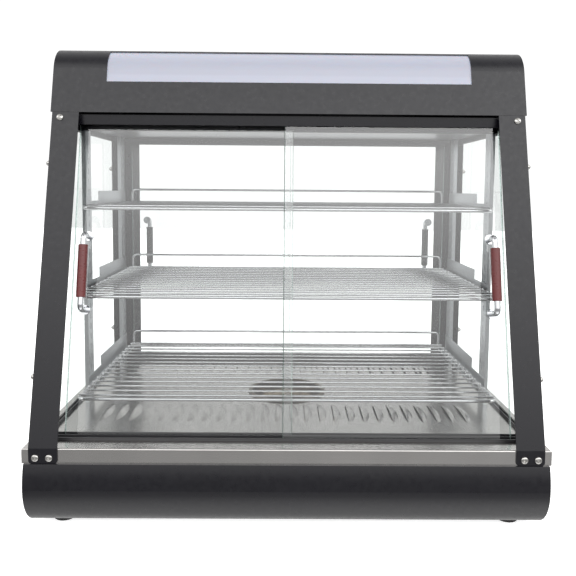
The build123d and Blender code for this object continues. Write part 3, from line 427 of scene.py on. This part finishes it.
def cross_screw(shape, place, radius, height, shank, shank_l):
    """A pan-head screw with a cross recess, on its shank."""
    rings, steps = 18, 2 * CIRCLE
    arm, reach, deep = 0.16 * radius, 0.62 * radius, 0.6 * height  # of the recess
    brim = 0.4  # share of the height where the dome begins
    rows = [[shape.verts.new(place @ Vector((0, 0, (height - deep) * MM)))]]
    for row in range(1, rings + 1):
        share = row / rings
        ring = []
        for step in range(steps):
            angle = math.tau * step / steps
            u, v = radius * share * math.cos(angle), radius * share * math.sin(angle)
            z = height * (brim + (1 - brim) * math.sqrt(max(0, 1 - share**2)))
            narrow, far = sorted((abs(u), abs(v)))
            if narrow < arm and far < reach:
                z = min(z, height - deep * (1 - 0.5 * far / reach))
            ring.append(shape.verts.new(place @ Vector((u * MM, v * MM, z * MM))))
        rows.append(ring)
    for low, up in zip(rows, rows[1:]):
        for step in range(steps):
            after = (step + 1) % steps
            corners = [low[step % len(low)], low[after % len(low)], up[after], up[step]]
            shape.faces.new(list(dict.fromkeys(corners)))
    under = [(radius, brim * height), (radius * 0.98, 0.1), (radius * 0.94, 0)]
    under += [(shank, 0), (shank, -shank_l), (0, -shank_l)]
    lathe(shape, under, place, steps)


def cap_nut(shape, place, radius, height, shank, shank_l):
    """A domed hexagon nut over a round washer, on the end of its bolt."""
    washer, flats = 0.9, 0.42 * height  # the washer's thickness, and the top of the flats
    disc_r, disc_top_r, dome_r = 1.3 * radius, 1.22 * radius, 0.82 * radius
    disc = [(0, 0), (disc_r, 0), (disc_r, 0.7 * washer), (disc_top_r, washer), (0, washer)]
    lathe(shape, disc, place)
    crown = [(0, washer), (radius, washer), (radius, 0.86 * flats)]
    lathe(shape, crown + [(0.84 * radius, flats), (0, flats)], place, 6)
    dome, rows = [(0, 0.9 * flats)], 8
    for row in range(rows + 1):
        angle = math.pi / 2 * row / rows
        across = dome_r * math.cos(angle) if row < rows else 0
        dome.append((across, flats + (height - flats) * math.sin(angle)))
    lathe(shape, dome, place)
    lathe(shape, [(0, 0), (shank, 0), (shank, -shank_l), (0, -shank_l)], place)


def add_screws():
    """Leg screws, top screws and the cap nuts of the sides, each turned to its own angle."""
    shape = bmesh.new()
    screw = (SCREW_R, SCREW_H, SCREW_SHANK_R, SCREW_SHANK_L)
    nut = (NUT_R, NUT_H, NUT_SHANK_R, NUT_SHANK_L)
    for sign in (-1, 1):
        for index, x in enumerate(SCREW_XS):
            at = (sign * x, front_y - SHEET_T, RIM_Z + SCREW_UP)
            cross_screw(shape, seat(at, (0, -1, 0), 0.5 + index + sign), *screw)
        lean_y = front_y + LEG_LEAN * TOP_SCREW_UP - SHEET_T * math.hypot(1, LEG_LEAN)
        at = (sign * TOP_SCREW_X, lean_y, WORKTOP_Z + TOP_SCREW_UP)
        cross_screw(shape, seat(at, (0, -1, LEG_LEAN), 0.9 * sign), *screw)
        places = [(front_y + LEG_LEAN * up + BOLT_IN, WORKTOP_Z + up) for up in LEG_BOLTS]
        places += [(front_y + FRAME_D - BOLT_IN, WORKTOP_Z + up) for up in POST_BOLTS]
        for index, (y, z) in enumerate(places):
            cap_nut(shape, seat((sign * SIDE_X, y, z), (sign, 0, 0), 0.4 + index), *nut)
    piece("screws_and_nuts", shape, "case", "screw_steel", stands_for=["frame_screws"])


def add_pan():
    """The spun water pan with its rolled rim and the rings of its floor."""
    low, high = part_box("water_pan")
    middle = (low + high) / 2 / MM
    floor = [(0, -26), (14, -26), (16, -25.6), (18, -26), (30, -26), (32, -25.6), (34, -26)]
    wall = [(44, -26), (47, -25.2), (50, -22.6), (53.2, -15), (54, -11.5), (54.2, 0.6)]
    rim = [(54.5, 2.0), (55.3, 2.8), (56.4, 3.0), (59.2, 3.0), (60.4, 2.6), (61.0, 1.7)]
    rim += [(60.9, 0.8), (60.3, 0.35), (55.2, 0.3)]
    outside = [(55.1, -12), (54.2, -15.6), (50.8, -23.4), (47.4, -26.3), (44, -27), (0, -27)]
    shape = bmesh.new()
    place = seat((middle.x, middle.y, WORKTOP_Z), (0, 0, 1))
    lathe(shape, floor + wall + rim + outside, place, 128)
    piece("spun_water_pan", shape, "water_pan", "stainless_pan", stands_for=["water_pan"])


def close(shape, place, foot, top):
    """A solid between two outlines in mm that have the same number of corners."""
    below = [shape.verts.new(place @ (Vector(corner) * MM)) for corner in foot]
    above = [shape.verts.new(place @ (Vector(corner) * MM)) for corner in top]
    shape.faces.new(below)
    shape.faces.new(above)
    for here in range(len(below)):
        after = (here + 1) % len(below)
        shape.faces.new([below[here], below[after], above[after], above[here]])


def slab(shape, place, size, taper=0.85):
    """A low raised bar in mm, its top a little smaller than its foot."""
    long, wide, tall = size
    inset = (1 - taper) * wide / 2
    foot = [(x * long / 2, y * wide / 2, 0) for x, y in SQUARE]
    top = [(x * (long / 2 - inset), y * (wide / 2 - inset), tall) for x, y in SQUARE]
    close(shape, place, foot, top)


def tick_angles(gaps, every):
    """The angles of a scale's ticks in radians, and whether each is one of the longer ones."""
    for step in range(gaps + 1):
        yield math.radians(SWEEP * (step / gaps - 0.5)), step % every == 0


def tick_place(place, angle, radius, height):
    """The seat of a tick whose length lies along the radius."""
    turned = place @ Matrix.Rotation(angle, 4, "Z")
    moved = turned @ Matrix.Translation((0, radius * MM, height * MM))
    return moved @ Matrix.Rotation(math.pi / 2, 4, "Z")


def add_thermometer():
    """A round dial: bezel, enamel face, ticks, needle and a low lens."""
    steps = 2 * CIRCLE
    bottom, top = 1.4, 1.6  # of the enamel face, above the panel
    place = seat((DIAL_X, panel_y, CONTROL_Z), (0, 1, 0))
    shape = bmesh.new()
    cup = [(0, -18), (18, -18), (18, 0), (22, 0), (22, 2.4), (21.6, 3.4), (20.8, 3.9), (19.9, 3.7)]
    lathe(shape, cup + [(19.3, 2.8), (18.7, bottom), (0, bottom)], place, steps)
    piece("thermometer_bezel", shape, "case", "dial_metal", stands_for=["thermometer"])
    shape = bmesh.new()
    lathe(shape, [(0, bottom), (18.6, bottom), (18.5, top), (0, top)], place, steps)
    piece("thermometer_face", shape, "case", "dial_metal", enamel, ["thermometer"])
    shape = bmesh.new()
    for angle, major in tick_angles(40, 5):
        long, wide = (3.6, 0.8) if major else (2.0, 0.5)
        slab(shape, tick_place(place, angle, 17.2 - long / 2, top), (long, wide, 0.08))
    piece("thermometer_ticks", shape, "case", "black_plastic", stands_for=["thermometer"])
    shape = bmesh.new()
    tip, tail = 13.5, -4.5
    outline = [(-0.7, tail), (0.7, tail), (1.0, 0), (0.15, tip), (-0.15, tip), (-1.0, 0)]
    needle = place @ Matrix.Rotation(math.radians(100), 4, "Z")
    close(shape, needle, *([(x, y, z) for x, y in outline] for z in (1.9, 2.15)))
    lathe(shape, [(0, top), (1.9, top), (1.9, 2.3), (1.4, 2.6), (0, 2.6)], place, 32)
    piece("thermometer_needle", shape, "case", "rocker_red", stands_for=["thermometer"])
    shape = bmesh.new()
    lathe(shape, [(0, 3.3), (10, 3.2), (19.2, 2.8), (19.3, 2.6), (10, 3.0), (0, 3.1)], place, steps)
    piece("thermometer_lens", shape, "case", "side_glass", stands_for=["thermometer"])


def add_lamp():
    """The indicator: a turned bezel round a ribbed amber lens."""
    place = seat((LAMP_X, panel_y, CONTROL_Z), (0, 1, 0))
    shape = bmesh.new()
    ring = [(6, 0), (8, 0), (8, 1.2), (7.6, 1.8), (7, 2.1), (6.2, 1.8), (5.9, 1.2), (5.9, 0)]
    lathe(shape, ring, place, 64)
    piece("lamp_bezel", shape, "case", "dial_metal", stands_for=["indicator_lamp"])
    shape = bmesh.new()
    body = [(0, -18), (5.85, -18), (5.85, 1.4), (5.4, 2.6)]
    ribs = [(4.9, 2.5), (4.5, 3.3), (3.9, 3.2), (3.4, 3.8), (2.7, 3.7), (1.8, 4.1), (0, 4.2)]
    lathe(shape, body + ribs, place, 64)
    piece("lamp_lens", shape, "case", "lamp_amber", stands_for=["indicator_lamp"])


def add_scale():
    """Ticks of the thermostat on the panel, and the white pointer let into its knob."""
    scale_r, pointer_up = 22, 12  # inner end of the ticks, and middle of the pointer
    place = seat((KNOB_X, panel_y, CONTROL_Z), (0, 1, 0))
    shape = bmesh.new()
    for angle, major in tick_angles(18, 3):
        long, wide = (4.0, 1.1) if major else (2.4, 0.7)
        slab(shape, tick_place(place, angle, scale_r + long / 2, 0), (long, wide, 0.12))
    piece("thermostat_scale", shape, "case", "lamp_tube", enamel)
    shape = bmesh.new()
    knob_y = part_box("thermostat_knob")[1].y / MM
    place = seat((KNOB_X, knob_y, CONTROL_Z + pointer_up), (0, 1, 0))
    slab(shape, place @ Matrix.Rotation(math.pi / 2, 4, "Z"), (9, 1.8, 0.25))
    piece("knob_pointer", shape, "thermostat_knob", "lamp_tube", enamel)


def add_rocker_ribs():
    """Three moulded ribs for the finger on each end of both rockers."""
    first, pitch, sunk = 6.0, 1.9, 0.15  # from the rocker's middle, from rib to rib, into its face
    for rocker, slot in (("power_rocker", "rocker_red"), ("light_rocker", "rocker_green")):
        low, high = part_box(rocker)
        middle = (low + high) / 2
        shape = bmesh.new()
        for end in (-1, 1):
            for step in range(3):
                z = middle.z + end * (first + pitch * step) * MM
                start = Vector((middle.x, high.y + 0.05, z))
                at, out = nodes[rocker].ray_cast(start, Vector((0, -1, 0)))[1:3]
                place = Matrix.Translation(at) @ out.to_track_quat("Z", "Y").to_matrix().to_4x4()
                long_x = place.to_3x3().inverted() @ Vector((1, 0, 0))
                place = place @ Matrix.Rotation(math.atan2(long_x.y, long_x.x), 4, "Z")
                slab(shape, place @ Matrix.Translation((0, 0, -sunk * MM)), (13, 0.9, 0.5), 0.5)
        piece(f"{rocker}_ribs", shape, rocker, slot)


def add_welds():
    """A flattened bead wherever a cross wire is welded to the rods of a shelf's frame."""
    bead, bead_down = Vector((2.5, 2.4, 1.35)) * MM, 2.2  # its half sizes, and depth below the deck
    uneven, ripple = 0.16, 0.12 * MM
    for shelf in ("lower", "middle", "upper"):
        low, high = [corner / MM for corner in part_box(f"{shelf}_shelf_deck")]
        y_low, y_high = low.y + SHELF_RODS_R + WIRE_CLEAR, high.y - SHELF_RODS_R - WIRE_CLEAR
        gaps = round((y_high - y_low) / WIRE_PITCH)
        shape = bmesh.new()
        for step in range(gaps + 1):
            y = y_low + (y_high - y_low) * step / gaps
            for sign in (-1, 1):
                swell = 1 + uneven * math.sin(5.1 * step + sign)
                at = Vector((sign * (high.x - SHELF_RODS_R), y, high.z - bead_down)) * MM
                size = Matrix.Diagonal((bead.x, bead.y * swell, bead.z * swell, 1))
                place = Matrix.Translation(at) @ size
                made = bmesh.ops.create_icosphere(shape, subdivisions=2, radius=1, matrix=place)
                for vertex in made["verts"]:
                    wave = math.sin(2300 * vertex.co.x) * math.sin(2100 * vertex.co.y + step)
                    vertex.co.z += ripple * wave
        piece(f"{shelf}_shelf_welds", shape, f"{shelf}_shelf", "chromed_wire")


enamel = moulded("white_enamel", (0.78, 0.78, 0.76), 0.3, 300, 0.00001)
add_screws()
add_pan()
add_thermometer()
add_lamp()
add_scale()
add_rocker_ribs()
add_welds()

# ---------------------------------------------------------------- studio
FOCAL = 41.24  # mm
VIEW_SHIFT = -0.084
EYE = Vector((-0.0068, -1.0311, 0.4387))
YAW, PITCH, ROLL = -0.007, 0.0776, 0.0078  # radians
# Brightness of the studio in front of the case, by the sine of the elevation.
FRONT_LIGHT = [
    (-1.0, 1.6),
    (-0.8, 1.4),
    (-0.5, 0.45),
    (-0.2, 0.36),
    (-0.05, 0.4),
    (0.05, 0.75),
    (0.13, 1.2),
    (0.3, 1.9),
    (0.42, 2.7),
    (0.58, 3.0),
    (0.7, 2.0),
    (0.8, 0.9),
    (0.9, 0.4),
    (1.0, 0.4),
]
BRIGHTEST = max(light for z, light in FRONT_LIGHT)
LEFT_LIGHT, RIGHT_LIGHT = 0.85, 1.15  # the studio's sides against its middle
BACK_LIGHT = 0.9  # brightness behind the case, as the case sees it
SEEN_LIGHT = 1.1  # and as the camera does
FLOOR_HALF, FLOOR_GLOW = 6.0, 0.8


def add_camera():
    """A camera a metre in front of the case, above the middle shelf and looking a little down."""
    across = Vector((math.cos(YAW), math.sin(YAW), 0))
    ahead = Vector((-math.sin(YAW), math.cos(YAW), 0))
    sight = ahead * math.cos(PITCH) - Vector((0, 0, math.sin(PITCH)))
    rise = ahead * math.sin(PITCH) + Vector((0, 0, math.cos(PITCH)))
    right = across * math.cos(ROLL) + rise * math.sin(ROLL)
    up = rise * math.cos(ROLL) - across * math.sin(ROLL)
    data = bpy.data.cameras.new("camera")
    data.lens = FOCAL
    data.shift_y = VIEW_SHIFT
    camera = bpy.data.objects.new("camera", data)
    turn = Matrix((right, up, -sight)).transposed().to_4x4()
    camera.matrix_world = Matrix.Translation(EYE) @ turn
    scene.collection.objects.link(camera)
    scene.camera = camera


def add_softbox(name, place, aim, size, power):
    """A rectangular area lamp at place, turned to face aim."""
    data = bpy.data.lights.new(name, "AREA")
    data.shape = "RECTANGLE"
    data.size, data.size_y = size
    data.energy = power
    lamp = bpy.data.objects.new(name, data)
    turn = (Vector(aim) - Vector(place)).to_track_quat("-Z", "Y")
    lamp.matrix_world = Matrix.Translation(place) @ turn.to_matrix().to_4x4()
    lamp.visible_glossy = False  # the world holds what the metals and the glass mirror
    scene.collection.objects.link(lamp)


def add_world():
    """White behind the case; in front of it a studio with a tall softbox above the camera."""
    world = bpy.data.worlds.new("studio")
    world.use_nodes = True
    tree = world.node_tree
    link = tree.links.new
    plain = tree.nodes["Background"]
    plain.inputs["Color"].default_value = (1, 1, 1, 1)
    plain.inputs["Strength"].default_value = SEEN_LIGHT
    room = tree.nodes.new("ShaderNodeBackground")
    place = tree.nodes.new("ShaderNodeTexCoord")
    split = tree.nodes.new("ShaderNodeSeparateXYZ")
    link(place.outputs["Generated"], split.inputs["Vector"])
    height = ranged(tree, split.outputs["Z"], (-1.0, 1.0))
    greys = [(0.5 + z / 2, (light / BRIGHTEST,) * 3) for z, light in FRONT_LIGHT]
    front = between(tree, height.outputs["Result"], greys)
    sides = (BRIGHTEST * LEFT_LIGHT, BRIGHTEST * RIGHT_LIGHT)
    across = ranged(tree, split.outputs["X"], (-0.5, 0.5), sides)
    ahead = tree.nodes.new("ShaderNodeVectorMath")
    ahead.operation = "SCALE"
    link(front, ahead.inputs[0])
    link(across.outputs["Result"], ahead.inputs["Scale"])
    back = ranged(tree, split.outputs["Y"], (-0.45, 0.35))
    back.interpolation_type = "SMOOTHSTEP"
    around = tree.nodes.new("ShaderNodeMix")
    around.data_type = "VECTOR"
    link(back.outputs["Result"], around.inputs["Factor"])
    link(ahead.outputs["Vector"], around.inputs["A"])
    around.inputs["B"].default_value = (BACK_LIGHT,) * 3
    link(around.outputs["Result"], room.inputs["Color"])
    ray = tree.nodes.new("ShaderNodeLightPath")
    both = tree.nodes.new("ShaderNodeMixShader")
    link(ray.outputs["Is Camera Ray"], both.inputs["Fac"])
    link(room.outputs["Background"], both.inputs[1])
    link(plain.outputs["Background"], both.inputs[2])
    link(both.outputs["Shader"], tree.nodes["World Output"].inputs["Surface"])
    scene.world = world


def add_floor():
    """A pale floor that the case stands on."""
    material = new_material(
        "pale_floor", base_color=(0.9, 0.9, 0.9, 1), roughness=0.8,
        emission_color=(1, 1, 1, 1), emission_strength=FLOOR_GLOW,
    )
    mesh = bpy.data.meshes.new("floor")
    corners = [(x * FLOOR_HALF, y * FLOOR_HALF, 0) for x, y in SQUARE]
    mesh.from_pydata(corners, [], [(0, 1, 2, 3)])
    mesh.materials.append(material)
    floor = bpy.data.objects.new("floor", mesh)
    floor.visible_glossy = False
    floor.visible_diffuse = False
    scene.collection.objects.link(floor)


add_camera()
add_world()
add_floor()
add_softbox("front_softbox", (0.5, -1.9, 1.75), (0, 0, 0.3), (1.8, 1.1), 8)
add_softbox("top_softbox", (-0.3, 0.4, 2.2), (0, 0, 0.3), (1.6, 1.2), 10)
scene.view_settings.view_transform = "Standard"
